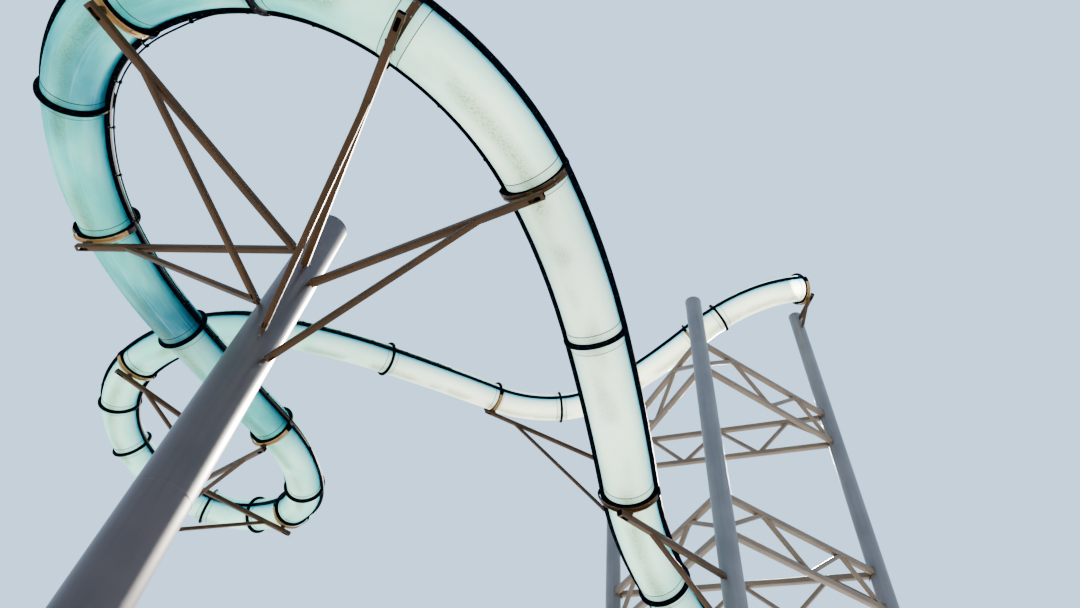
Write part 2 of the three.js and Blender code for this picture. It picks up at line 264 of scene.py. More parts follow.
@dataclass(frozen=True)
class GlassFibreResin(Finish):
    """Glass-fibre reinforced polyester, moulded and left translucent.

    Light from the far side glows through it. Its colour deepens beside the strips and flanges,
    where the laminate is thicker and, as painted shade, where the way through it is longer seen
    edge-on. The outer gel coat is glossy. Every point knows its place in the straightened tube,
    how strong its tint with painted light is, and how deep the laminate and painted shade are.
    """

    body: tuple[str, str, str]
    rim: tuple[str, str, str]
    streak: str
    trace: str
    glow: float = 0.84
    middle_stage: float = 0.38
    fibre_mm: float = 14.0
    cloud_mm: float = 330.0
    glint_streak_mm: float = 70.0
    speck_mm: float = 26.0
    film_mm: float = 900.0

    def surface(self, tree: Tree) -> Socket:
        """Builds a glossy skin over a glowing body.

        Args:
            tree: The material's node tree.

        Returns:
            The shader socket.
        """
        place, tint_and_light, laminate_and_shade = (
            add_node(tree, "ShaderNodeAttribute", {"attribute_name": name}).outputs[socket]
            for name, socket in (("tube_place", "Vector"), ("tint_and_light", "Fac"), ("laminate_and_shade", "Fac"))
        )
        # Resin settles along the mould, which leaves clouds of uneven tint
        clouds = mottle(tree, stretched(tree, place, (1.0, 1.0, 0.3)), self.cloud_mm, 3)
        uneven = stepped(tree, clouds, (0.3, 0.7), (0.5, 1.4))
        strength = product(tree, tint_and_light, uneven)
        # From clear by way of part tinted to fully tinted
        stages = (0.0, self.middle_stage, 1.0)
        body = ramp(tree, strength, tuple(zip(stages, self.body)))
        # Edge colour from thicker laminate, deepened as painted shade for the longer way through
        # the wall seen edge-on
        rim = ramp(tree, strength, tuple(zip(stages, self.rim)))
        # Long pale streaks along the tube are painted glints of light on the gloss
        runs = mottle(tree, stretched(tree, place, (1.0, 1.0, 0.03)), self.glint_streak_mm, 2)
        painted_glint = product(tree, stepped(tree, runs, (0.56, 0.68), (0.0, 0.8)), tint_and_light)
        body = blend(tree, painted_glint, body, self.streak)
        colour = blend(tree, laminate_and_shade, body, rim)
        colour = blend(tree, self.trace_share(tree, place), colour, self.trace)
        fibres = mottle(tree, object_place(tree), self.fibre_mm, 4)
        values = {"Roughness": 0.18, "IOR": 1.54, "Coat Weight": 0.6, "Coat Roughness": 0.06}
        skin = principled(tree, colour, values, bump(tree, fibres, 0.04, 2))
        lit = add_node(tree, "ShaderNodeBsdfTranslucent", links={"Color": colour})
        links = {1: skin, 2: lit.outputs["BSDF"]}
        return add_node(tree, "ShaderNodeMixShader", None, {0: self.glow}, links).outputs[0]

    def trace_share(self, tree: Tree, place: Socket) -> Socket:
        """Marks the faint lime film full of specks along the lowest line, darkened there as
        painted shade.

        Args:
            tree: The node tree.
            place: The place in the straightened tube, with X sideways and Y up.

        Returns:
            The share of the trace's colour.
        """
        parts = add_node(tree, "ShaderNodeSeparateXYZ", links={0: place})
        aside = add_node(
            tree, "ShaderNodeMath", {"operation": "ABSOLUTE"}, links={0: parts.outputs["X"]}
        ).outputs[0]
        near = stepped(tree, aside, (0.03, 0.19), (0.62, 0.0))
        below = stepped(tree, parts.outputs["Y"], (-0.1, -0.2))
        patches = mottle(tree, object_place(tree), self.film_mm, 1)
        specks = mottle(tree, object_place(tree), self.speck_mm, 5)
        share = product(tree, near, below)
        share = product(tree, share, stepped(tree, patches, (0.40, 0.54)))
        return product(tree, share, stepped(tree, specks, (0.48, 0.62), (0.36, 1.0)))


@dataclass(frozen=True)
class PaintedSteel(Finish):
    """Structural steel, sprayed with two-pack paint.

    The eye sees a soft sheen with a slight orange peel, weathered patches and faint streaks.
    """

    fresh: str
    weathered: str
    streak: str
    roughness: float = 0.42
    streak_share: float = 0.3
    gloss: float = 0.5
    peel_mm: float = 9.0
    patch_mm: float = 700.0
    run_mm: float = 60.0

    def surface(self, tree: Tree) -> Socket:
        """Builds weathered paint with streaks that run down.

        Args:
            tree: The material's node tree.

        Returns:
            The shader socket.
        """
        place = object_place(tree)
        patches = mottle(tree, place, self.patch_mm, 5)
        body = ramp(tree, patches, ((0.3, self.fresh), (0.7, self.weathered)))
        # Rain draws streaks out to about thirty times their width
        runs = mottle(tree, stretched(tree, place, (1.0, 1.0, 0.035)), self.run_mm, 4)
        amount = stepped(tree, runs, (0.5, 0.75), (0.0, self.streak_share))
        colour = blend(tree, amount, body, self.streak)
        normal = bump(tree, mottle(tree, place, self.peel_mm, 2), 0.04, 0.5)
        values = {"Roughness": self.roughness, "Specular IOR Level": self.gloss}
        return principled(tree, colour, values, normal)


@dataclass(frozen=True)
class GelCoat(Finish):
    """Pigmented gel coat on a trimmed laminate edge, brushed on by hand.

    It looks nearly black, with a slight blue. Years outdoors have dulled its gloss.
    """

    deep: str
    worn: str
    roughness: float = 0.5
    gloss: float = 0.01
    wear_mm: float = 90.0
    brush_mm: float = 18.0

    def surface(self, tree: Tree) -> Socket:
        """Builds a dark, dulled coat with brush marks.

        Args:
            tree: The material's node tree.

        Returns:
            The shader socket.
        """
        place = object_place(tree)
        wear = mottle(tree, place, self.wear_mm, 6)
        colour = ramp(tree, wear, ((0.5, self.deep), (0.8, self.worn)))
        normal = bump(tree, mottle(tree, place, self.brush_mm, 4), 0.2, 2)
        values = {"Roughness": self.roughness, "Specular IOR Level": self.gloss}
        return principled(tree, colour, values, normal)


@dataclass(frozen=True)
class ZincPlate(Finish):
    """Zinc-plated steel fasteners, turned and tumbled: small dull highlights."""

    bright: str
    dull: str
    rust_mm: float = 25.0

    def surface(self, tree: Tree) -> Socket:
        """Builds a dull metal with white-rust patches.

        Args:
            tree: The material's node tree.

        Returns:
            The shader socket.
        """
        spots = mottle(tree, object_place(tree), self.rust_mm, 4)
        colour = ramp(tree, spots, ((0.35, self.bright), (0.65, self.dull)))
        return principled(tree, colour, {"Roughness": 0.38, "Metallic": 0.9})


@dataclass(frozen=True)
class Screed(Finish):
    """Power-floated pale concrete for the studio floor."""

    light: str
    dark: str
    patch_mm: float = 3000.0

    def surface(self, tree: Tree) -> Socket:
        """Builds an even matt floor.

        Args:
            tree: The material's node tree.

        Returns:
            The shader socket.
        """
        patches = mottle(tree, object_place(tree), self.patch_mm, 2)
        colour = ramp(tree, patches, ((0.2, self.light), (0.8, self.dark)))
        return principled(tree, colour, {"Roughness": 0.85})


TUBE_RESIN = GlassFibreResin(
    "grp_translucent",
    ("FEFDF4", "AEE2DE", "0AA0BA"),
    # Edge colours: thicker laminate, deepened as painted shade
    ("76B4CC", "2396A8", "046480"),
    # Colour of the painted glints
    "EDF3F8",
    # Lime film, darkened as painted shade along the lowest line
    "8E9C7C",
)
STRIP_COAT = GelCoat("gel_coat_navy", "05080F", "0D131E")
LAP_COAT = GelCoat("gel_coat_lap", "2C3A38", "4A5854")
MAST_PAINT = PaintedSteel("paint_mast_grey", "443C3E", "3A3436", "2D292A", 0.36)
LEG_PAINT = PaintedSteel("paint_leg_grey", "5F5F63", "535357", "424346", 0.38)
ARM_PAINT = PaintedSteel("paint_arm_bronze", "402B17", "312213", "22180F", 0.4, 0.06, 0.2)
# The saddles wear the arms' paint; this lighter tan is painted light from below
LIT_SADDLE_PAINT = PaintedSteel("arm_paint_lit_saddle", "96794F", "846A46", "624F38", 0.45, 0.06, 0.3)
LATTICE_PAINT = PaintedSteel(
    "paint_lattice_taupe", "685A4D", "584D43", "443B32", 0.4, 0.06, 0.3
)
WELD_METAL = PaintedSteel("paint_over_weld", "4A4440", "3C3834", "2E2A28", 0.5, 0.06)
FASTENER = ZincPlate("zinc_fastener", "6A6E72", "4C4F52")
DARK_FASTENER = ZincPlate("blackened_fastener", "2C2F34", "1C1F23")
PIPE_COAT = GelCoat("polythene_pipe", "0A0B0E", "15171B")
FLOOR_FINISH = Screed("floor_screed", "A8ABAE", "A0A3A6")


# Outlines, places and mesh drafts


def circle(radius: float, sides: int) -> Outline:
    """Returns the points of a regular outline, anticlockwise."""
    turns = [2 * math.pi * i / sides for i in range(sides)]
    return [(radius * math.cos(turn), radius * math.sin(turn)) for turn in turns]


def rounded(width: float, depth: float, corner: float, steps: int = 3) -> Outline:
    """Outlines a rectangle with rounded corners, anticlockwise.

    Args:
        width: Size along X.
        depth: Size along Y.
        corner: Radius of the corners.
        steps: Segments in each corner.

    Returns:
        The outline's points.
    """
    points = []
    for quarter, (sx, sy) in enumerate(CORNERS):
        for step in range(steps + 1):
            angle = math.pi / 2 * (quarter + step / steps)
            x = sx * (width / 2 - corner) + corner * math.cos(angle)
            points.append((x, sy * (depth / 2 - corner) + corner * math.sin(angle)))
    return points


def spoke(angle: float) -> Vector:
    """Returns the unit vector at an angle from X towards Y."""
    return Vector((math.cos(angle), math.sin(angle), 0.0))


def across(centre: Vector, direction: Vector) -> Matrix:
    """Makes a place whose X is level, Y goes up across the direction and Z along it.

    Args:
        centre: The place's origin.
        direction: The way along.

    Returns:
        The place as a matrix.
    """
    along = direction.normalized()
    side = UP.cross(along)
    side = side.normalized() if side.length > 1e-6 else Vector((1.0, 0.0, 0.0))
    rise = along.cross(side)
    return Matrix.Translation(centre) @ Matrix((side, rise, along)).transposed().to_4x4()


def section_at(outline: Outline, place: Matrix, height: float = 0.0) -> list[Vector]:
    """Lays an outline across a place, at a height along its Z."""
    return [place @ Vector((x, y, height)) for x, y in outline]


@dataclass
class Draft:
    """A mesh that is being built, with what the tube's resin reads at each point."""

    points: list[Vector] = field(default_factory=list)
    faces: list[tuple[int, ...]] = field(default_factory=list)
    finishes: list[Finish] = field(default_factory=list)
    face_finishes: list[int] = field(default_factory=list)
    laminate_and_shade: list[float] = field(default_factory=list)
    tint_and_light: list[float] = field(default_factory=list)
    tube_place: list[float] = field(default_factory=list)

    def add_face(self, corners: Iterable[int], finish: Finish) -> None:
        """Adds one face.

        Args:
            corners: Numbers of its points, anticlockwise seen from outside.
            finish: The finish.
        """
        if finish not in self.finishes:
            self.finishes.append(finish)
        self.faces.append(tuple(corners))
        self.face_finishes.append(self.finishes.index(finish))

    def loft(self, rows: Rows, finish: FinishRule, looped: bool = False) -> int:
        """Skins closed rows of points, each row with as many points as the others.

        Args:
            rows: The rows, in order.
            finish: A finish, or a rule from row and place in the row to one, or to None where a
                face is left open.
            looped: True where the last row runs on to the first.

        Returns:
            The number of the first point.
        """
        first, count = len(self.points), len(rows[0])
        for row in rows:
            self.points.extend(row)
        for r in range(len(rows) if looped else len(rows) - 1):
            here = first + r * count
            there = first + ((r + 1) % len(rows)) * count
            for i in range(count):
                j = (i + 1) % count
                coat = finish(r, i) if callable(finish) else finish
                if coat is not None:
                    self.add_face((here + i, here + j, there + j, there + i), coat)
        return first

    def solid(self, rows: Rows, finish: Finish) -> None:
        """Skins rows of points and closes both ends with a cap.

        Args:
            rows: The rows, in order.
            finish: The finish.
        """
        count = len(rows[0])
        first = self.loft(rows, finish)
        last = first + (len(rows) - 1) * count
        self.add_face(reversed(range(first, first + count)), finish)
        self.add_face(range(last, last + count), finish)

    def prism(
        self, outline: Outline, place: Matrix, ends: Sequence[float], finish: Finish
    ) -> None:
        """Carries an outline through a place, from one height to another."""
        self.solid([section_at(outline, place, z) for z in ends], finish)

    def sheet(self, outline: Sequence[Vector], side: Vector, finish: Finish) -> None:
        """Adds a flat sheet that reaches as far to the given side of its outline as back."""
        self.solid([[p - side for p in outline], [p + side for p in outline]], finish)

    def lathe(self, at: Matrix, profile: Outline, finish: Finish, sides: int) -> None:
        """Turns a profile of radii and heights, anticlockwise, round the Z axis of a place."""
        rows = [section_at(circle(radius, sides), at, height) for radius, height in profile]
        self.loft(rows, finish, looped=True)

    def sweep(self, path: Sequence[Vector], outline: Outline, finish: Finish) -> None:
        """Carries an outline along a path and closes both ends.

        Args:
            path: Points of the middle line.
            outline: The outline, with X level and Y up across the path.
            finish: The finish.
        """
        rows = []
        for i, point in enumerate(path):
            ahead = path[min(i + 1, len(path) - 1)] - path[max(i - 1, 0)]
            rows.append(section_at(outline, across(point, ahead)))
        self.solid(rows, finish)

    def hexagon_bolt(self, seat: Vector, axis: Vector, size: float, finish: Finish) -> None:
        """Adds a bolt head or nut on its washer.

        Args:
            seat: Middle of the face that it bears on.
            axis: The way that it points out.
            size: Thread diameter, which sets head and washer.
            finish: The finish.
        """
        place = across(seat, axis)
        head, crown = circle(0.95 * size, 6), circle(0.78 * size, 6)
        self.prism(circle(1.15 * size, 12), place, (-0.1 * size, 0.15 * size), finish)
        levels = ((head, 0.15), (head, 0.72), (crown, 0.85))
        self.solid([section_at(outline, place, h * size) for outline, h in levels], finish)

    def bolt_on(
        self, place: Matrix, spot: Sequence[float], way: Vector, size: float, finish: Finish
    ) -> None:
        """Adds a bolt at a spot of a place, which points the given way there."""
        self.hexagon_bolt(place @ Vector(spot), place.to_3x3() @ way, size, finish)


def add_piece(name: str, draft: Draft, replaces: str | None = None) -> None:
    """Turns a draft into a piece of the model.

    Args:
        name: The piece's name.
        draft: Its mesh.
        replaces: The CAD node that it stands for.
    """
    mesh = bpy.data.meshes.new(name)
    mesh.from_pydata([tuple(p) for p in draft.points], [], draft.faces)
    for finish in draft.finishes:
        mesh.materials.append(finish.material())
    mesh.polygons.foreach_set("material_index", draft.face_finishes)
    if draft.tint_and_light:
        for share, values in (("laminate_and_shade", draft.laminate_and_shade), ("tint_and_light", draft.tint_and_light)):
            mesh.attributes.new(share, "FLOAT", "POINT").data.foreach_set("value", values)
        spots = mesh.attributes.new("tube_place", "FLOAT_VECTOR", "POINT")
        spots.data.foreach_set("vector", draft.tube_place)
    mesh.polygons.foreach_set("use_smooth", [True] * len(mesh.polygons))
    mesh.set_sharp_from_angle(angle=SMOOTH_ANGLE)
    mesh.update()
    piece = bpy.data.objects.new(name, mesh)
    bpy.context.scene.collection.objects.link(piece)
    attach(piece, BODY)
    if replaces:
        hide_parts(replaces)
    LOG.info("%s: %d faces", name, len(mesh.polygons))


# The slide


class Half(Enum):
    """The two half shells of a section, by the way that each one bulges."""

    UPPER = 1
    LOWER = -1


@dataclass(frozen=True)
class SlideArc:
    """The middle line of one section, as the CAD model lays it."""

    start: Vector
    heading: float
    length: float
    turn: float
    fall: float
    end_fall: float

    def point(self, distance: float) -> Vector:
        """Finds the middle line at a level distance.

        Args:
            distance: Level distance from the upper end.

        Returns:
            The point.
        """
        t = distance / self.length
        radius = self.length / self.turn
        angle = self.heading + self.turn * t
        mean_fall = self.fall + (self.end_fall - self.fall) * t / 2
        x = radius * (math.sin(angle) - math.sin(self.heading))
        y = radius * (math.cos(self.heading) - math.cos(angle))
        return self.start + Vector((x, y, -distance * mean_fall))

    def tangent(self, distance: float) -> Vector:
        """Finds the way down the slide at a level distance.

        Args:
            distance: Level distance from the upper end.

        Returns:
            The unit vector along the slide.
        """
        t = distance / self.length
        angle = self.heading + self.turn * t
        fall = self.fall + (self.end_fall - self.fall) * t
        return Vector((math.cos(angle), math.sin(angle), -fall)).normalized()

    def place(self, distance: float) -> Matrix:
        """Returns the place across the slide at a level distance."""
        return across(self.point(distance), self.tangent(distance))


@dataclass
class Slide:
    """The tube: half shells between strips, with ring flanges where sections meet."""

    shell_radius: float = 0.430
    wall: float = 0.012
    band_step: float = 0.004
    band_length: float = 0.150
    lap_width: float = 0.011
    strip_reach: float = 0.512
    strip_height: float = 0.024
    seam: float = 0.001
    flange_radius: float = 0.512
    flange_width: float = 0.019
    flange_sides: int = 60
    arc_steps: int = 30
    degrees_per_step: float = 3.0
    fewest_steps: int = 6
    bolt_line: float = 0.482
    strip_bolt_pitch: float = 0.20
    strip_bolt_inset: float = 0.15
    flange_bolts: int = 20
    bolt_size: float = 0.010
    # Share of the deep edge colour at a ring, from thicker laminate and painted shade, and ways
    # round
    # the shell from the strip: how far it stays full, how far it fades quickly, and how far
    # slowly
    ring_laminate_and_shade: float = 0.16
    full_reach: float = 0.04
    quick_fade: float = 0.06
    slow_fade: float = 0.42
    # Places of the sections that are tinted, from the top and from 0
    tinted_sections: tuple[int, ...] = (6, 7, 8, 9, 10, 18, 19, 20, 21)
    start: Vector = field(default_factory=lambda: Vector((12.060, 6.230, 20.590)))
    start_heading: float = 181.0
    end_fall: float = 0.2
    # Level length, turn in degrees, fall at the upper end, and the tint at both ends (0 to 1);
    # changes of tint along a section are painted light, as each real section is evenly tinted
    sections: tuple[tuple[float, float, float, float, float], ...] = (
        (2.750, -37.5, 0.42, 0.0, 0.0),
        (1.010, -11.0, 0.42, 0.0, 0.0),
        (2.960, 13.0, 0.31, 0.0, 0.0),
        (1.840, 30.5, 0.38, 0.0, 0.0),
        (2.290, 32.5, 0.21, 0.0, 0.0),
        (3.750, 4.0, 0.18, 0.0, 0.05),
        (3.210, -5.0, 0.30, 0.05, 0.15),
        (1.790, -44.5, 0.42, 0.18, 0.24),
        (1.560, -29.0, 0.42, 0.24, 0.18),
        (1.420, -33.5, 0.26, 0.14, 0.14),
        (1.460, -28.5, 0.20, 0.18, 0.14),
        (1.400, -22.5, 0.14, 0.18, 0.18),
        (1.490, -31.0, 0.10, 0.18, 0.15),
        (1.580, -44.0, 0.06, 0.18, 0.15),
        (1.640, -29.5, 0.07, 0.18, 0.15),
        (1.680, -29.0, 0.25, 0.18, 0.15),
        (2.670, -28.5, 0.11, 0.15, 0.18),
        (3.360, 2.0, 0.13, 0.45, 0.22),
        (2.660, 15.0, 0.14, 0.72, 0.28),
        (2.530, 27.5, 0.10, 0.28, 0.38),
        (2.110, 36.5, 0.11, 0.56, 0.42),
        (2.060, 28.0, 0.08, 0.46, 0.32),
        (1.870, 31.5, 0.15, 0.3, 0.12),
        (2.530, 29.5, 0.04, 0.10, 0.05),
        (2.640, 9.0, 0.03, 0.06, 0.04),
        (2.980, 5.0, 0.26, 0.05, 0.07),
        (2.250, -18.5, 0.19, 0.09, 0.12),
        (2.500, -8.0, 0.24, 0.12, 0.15),
    )
    arcs: list[SlideArc] = field(default_factory=list)

    def __post_init__(self) -> None:
        """Lays the sections end to end."""
        place, heading = self.start.copy(), math.radians(self.start_heading)
        falls = [section[2] for section in self.sections] + [self.end_fall]
        for (length, turn, fall, _, _), end_fall in zip(self.sections, falls[1:]):
            arc = SlideArc(place, heading, length, math.radians(turn), fall, end_fall)
            self.arcs.append(arc)
            place = arc.point(length)
            heading += arc.turn

    def rings(self) -> list[Matrix]:
        """Returns the place across every ring, from the top down."""
        last = self.arcs[-1]
        return [arc.place(0.0) for arc in self.arcs] + [last.place(last.length)]

    def stations(self, arc: SlideArc) -> list[tuple[float, float]]:
        """Lists where a section's shell is measured.

        Args:
            arc: The section's middle line.

        Returns:
            Distance from the upper end and outer radius, in order.
        """
        thick = self.shell_radius + self.band_step
        lap = self.band_length + self.lap_width
        ends = [(self.seam, thick), (self.band_length, thick), (lap, self.shell_radius)]
        turn = abs(math.degrees(arc.turn))
        steps = max(self.fewest_steps, math.ceil(turn / self.degrees_per_step))
        span = arc.length - 2 * lap
        middle = [(lap + span * i / steps, self.shell_radius) for i in range(1, steps)]
        return ends + middle + [(arc.length - s, r) for s, r in reversed(ends)]

    def half_circle(self, radius: float, height: float) -> Outline:
        """Outlines an arc over the middle of the tube.

        Args:
            radius: The arc's radius.
            height: The height at which it starts and ends.

        Returns:
            The points, anticlockwise.
        """
        root = math.asin(height / radius)
        shares = [i / self.arc_steps for i in range(self.arc_steps + 1)]
        angles = [root + (math.pi - 2 * root) * share for share in shares]
        return [(radius * math.cos(angle), radius * math.sin(angle)) for angle in angles]

    def half_outline(self, radius: float, half: Half) -> Outline:
        """Outlines one half shell with its two strips, anticlockwise.

        Args:
            radius: Outer radius of the shell here.
            half: The half shell.

        Returns:
            In the upper half the outer points from right to left, then the inner points back.
            In the lower half the same, mirrored and in reverse.
        """
        reach, top, seam = self.strip_reach, self.strip_height, self.seam
        outer = [(reach, seam), (reach, top), *self.half_circle(radius, top)]
        outer += [(-reach, top), (-reach, seam)]
        inner = self.half_circle(self.shell_radius - self.wall, seam)
        points = [(x, y * half.value) for x, y in outer + inner[::-1]]
        return points if half is Half.UPPER else points[::-1]

    def build_shell(self, index: int) -> None:
        """Builds the two half shells of one section.

        Args:
            index: The section's place from the top, from 0.
        """
        draft = Draft()
        for half in Half:
            self.add_half(draft, half, index)
        number = f"{index + 1:02d}"
        add_piece(f"slide_shell_{number}", draft, f"tube_section_{number}")

    def add_half(self, draft: Draft, half: Half, index: int) -> None:
        """Adds one half shell.

        Args:
            draft: The draft that gets it.
            half: The half shell.
            index: The section's place from the top, from 0.
        """
        arc, upper = self.arcs[index], half is Half.UPPER
        stations = self.stations(arc)
        rows = [section_at(self.half_outline(r, half), arc.place(s)) for s, r in stations]
        count, outer_count = len(rows[0]), self.arc_steps + 5

        def finish(r: int, i: int) -> Finish:
            """Gives strips, lap lines and shell their finishes, by row and place in the row."""
            spot = i if upper else count - 2 - i
            if spot in (-1, 0, 1, outer_count - 3, outer_count - 2, outer_count - 1):
                return STRIP_COAT
            on_lap = r in (1, len(stations) - 3) and 1 < spot < outer_count - 3
            return LAP_COAT if on_lap else TUBE_RESIN

        first = draft.loft(rows, finish)
        for at_start, base in ((True, first), (False, first + (len(rows) - 1) * count)):
            for k in range(self.arc_steps):
                # The outer arc starts two points in, and the inner arc runs back
                quad = [k + 2, k + 3, count - 2 - k, count - 1 - k]
                if not upper:
                    quad = [count - 1 - q for q in quad]
                if at_start == upper:
                    quad.reverse()
                draft.add_face([base + q for q in quad], STRIP_COAT)
        self.mark_points(draft, half, index)

    def mark_points(self, draft: Draft, half: Half, index: int) -> None:
        """Writes what the resin reads at each point of a half shell.

        Args:
            draft: The draft that holds the points, in the same order.
            half: The half shell.
            index: The section's place from the top, from 0.
        """
        stations = self.stations(self.arcs[index])
        # Each section's own tint, with painted light in how it changes along the section
        start_tint_and_light, end_tint_and_light = self.sections[index][3:]
        length = stations[-1][0] + self.seam
        for distance, radius in stations:
            near_end = min(distance, length - distance)
            ring_share = self.ring_laminate_and_shade if near_end <= self.band_length else 0.0
            for x, y in self.half_outline(radius, half):
                # How deep the edge colour is: thicker laminate, and painted shade
                height = abs(math.atan2(y, abs(x))) * self.shell_radius
                draft.laminate_and_shade.append(max(ring_share, self.laminate_and_shade_at(height)))
                draft.tint_and_light.append(start_tint_and_light + (end_tint_and_light - start_tint_and_light) * distance / length)
                draft.tube_place.extend((x, y, distance))

    def laminate_and_shade_at(self, height: float) -> float:
        """Finds how deep the edge colour is, from thicker laminate and painted shade.

        Args:
            height: The way round the shell from the strip.

        Returns:
            The depth as a share of the greatest.
        """
        beside, around = (
            max(0.0, min(1.0, 1 - (height - self.full_reach) / fade))
            for fade in (self.quick_fade, self.slow_fade)
        )
        return 0.35 * beside + 0.65 * around**1.6

    def build_fittings(self, index: int) -> None:
        """Builds the ring flanges and all the bolts of one section.

        Args:
            index: The section's place from the top, from 0.
        """
        arc = self.arcs[index]
        draft = Draft()
        shell = self.shell_radius + self.band_step
        width, rim = self.flange_width, self.flange_radius
        profile = [
            (shell - 0.006, 0.0),
            (rim - 0.002, 0.0),
            (rim, 0.002),
            (rim, width - 0.004),
            (rim - 0.004, width),
            (rim - 0.016, width),
            (shell + 0.020, width),
            (shell + 0.006, width + 0.006),
            (shell - 0.001, width + 0.020),
            (shell - 0.006, width + 0.020),
        ]
        for distance, inward in ((self.seam, 1.0), (arc.length - self.seam, -1.0)):
            place = arc.place(distance)
            turned = [(r, h * inward) for r, h in profile]
            if inward < 0:
                turned.reverse()
            draft.lathe(place, turned, STRIP_COAT, self.flange_sides)
            for k in range(self.flange_bolts):
                spot = spoke(2 * math.pi * (k + 0.5) / self.flange_bolts) * self.bolt_line
                spot.z = inward * width
                way = Vector((0.0, 0.0, inward))
                draft.bolt_on(place, spot, way, self.bolt_size, DARK_FASTENER)
        span = arc.length - 2 * self.strip_bolt_inset
        count = max(2, round(span / self.strip_bolt_pitch))
        for k in range(count + 1):
            place = arc.place(self.strip_bolt_inset + span * k / count)
            for side in (1, -1):
                for up in (1, -1):
                    spot = (side * self.bolt_line, up * self.strip_height, 0.0)
                    way = Vector((0.0, up, 0.0))
                    draft.bolt_on(place, spot, way, self.bolt_size, DARK_FASTENER)
        add_piece(f"slide_flanges_{index + 1:02d}", draft)

    def build(self) -> None:
        """Builds every section."""
        for index in range(len(self.arcs)):
            self.build_shell(index)
            self.build_fittings(index)


@dataclass
class FeedPipe:
    """A thin rigid pipe clipped along the slide's left strip."""

    arcs: list[SlideArc]
    radius: float = 0.012
    sides: int = 10
    point_step: float = 0.12
    clip_pitch: float = 0.95
    collar_size: float = 0.042
    collar_length: float = 0.032
    tab_length: float = 0.028
    tab_root: float = 0.484
    shortest_tab: float = 0.03
    bolt_line: float = 0.500
    bolt_size: float = 0.009
    # Ring number (with its share of the way to the next), and place across the tube
    route: tuple[tuple[float, float, float], ...] = (
        (5.5, 0.558, 0.0),
        (7.2, 0.558, 0.0),
        (8.1, 0.490, -0.038),
        (16.2, 0.490, -0.038),
        (17.1, 0.558, 0.0),
        (21.1, 0.558, 0.0),
        (21.7, 0.490, -0.038),
        (24.0, 0.490, -0.038),
    )

    def spot(self, ring: float) -> tuple[float, float]:
        """Finds the pipe's place across the tube.

        Args:
            ring: Ring number, with the share of the way to the next.

        Returns:
            Its place sideways and upwards.
        """
        for (first, x0, y0), (last, x1, y1) in zip(self.route, self.route[1:]):
            if ring <= last:
                share = (ring - first) / (last - first)
                share = share * share * (3 - 2 * share)
                return x0 + (x1 - x0) * share, y0 + (y1 - y0) * share
        return self.route[-1][1:]

    def build(self) -> None:
        """Builds the pipe with its clips and stand-offs."""
        draft = Draft()
        path, since_clip = [], self.clip_pitch / 2
        first, last = self.route[0][0], self.route[-1][0]
        for index, arc in enumerate(self.arcs):
            steps = math.ceil(arc.length / self.point_step)
            for k in range(steps):
                ring = index + k / steps
                if not first <= ring <= last:
                    continue
                place = arc.place(arc.length * k / steps)
                x, y = self.spot(ring)
                path.append(place @ Vector((x, y, 0.0)))
                since_clip += arc.length / steps
                if since_clip >= self.clip_pitch:
                    since_clip = 0.0
                    self.add_clip(draft, place, x, y)
        draft.sweep(path, circle(self.radius, self.sides), PIPE_COAT)
        add_piece("feed_pipe", draft)

    def add_clip(self, draft: Draft, place: Matrix, x: float, y: float) -> None:
        """Adds a clip round the pipe with its bracket on the strip.

        Args:
            draft: The draft that gets it.
            place: The place across the tube.
            x: The pipe's place sideways.
            y: The pipe's place upwards.
        """
        collar = rounded(self.collar_size, self.collar_size, 0.010)
        collar = [(px + x, py + y) for px, py in collar]
        half = self.collar_length / 2
        draft.prism(collar, place, (-half, half), STRIP_COAT)
        low, high = sorted((self.tab_root, x - self.radius))
        if high - low < self.shortest_tab:
            return
        under, over, half = y - 0.034, y - 0.028, self.tab_length / 2
        tab = [(low, under), (high, under), (high, over), (low, over)]
        draft.prism(tab, place, (-half, half), STRIP_COAT)
        spot = (self.bolt_line, under, 0.0)
        draft.bolt_on(place, spot, DOWN_ACROSS, self.bolt_size, FASTENER)


# Columns


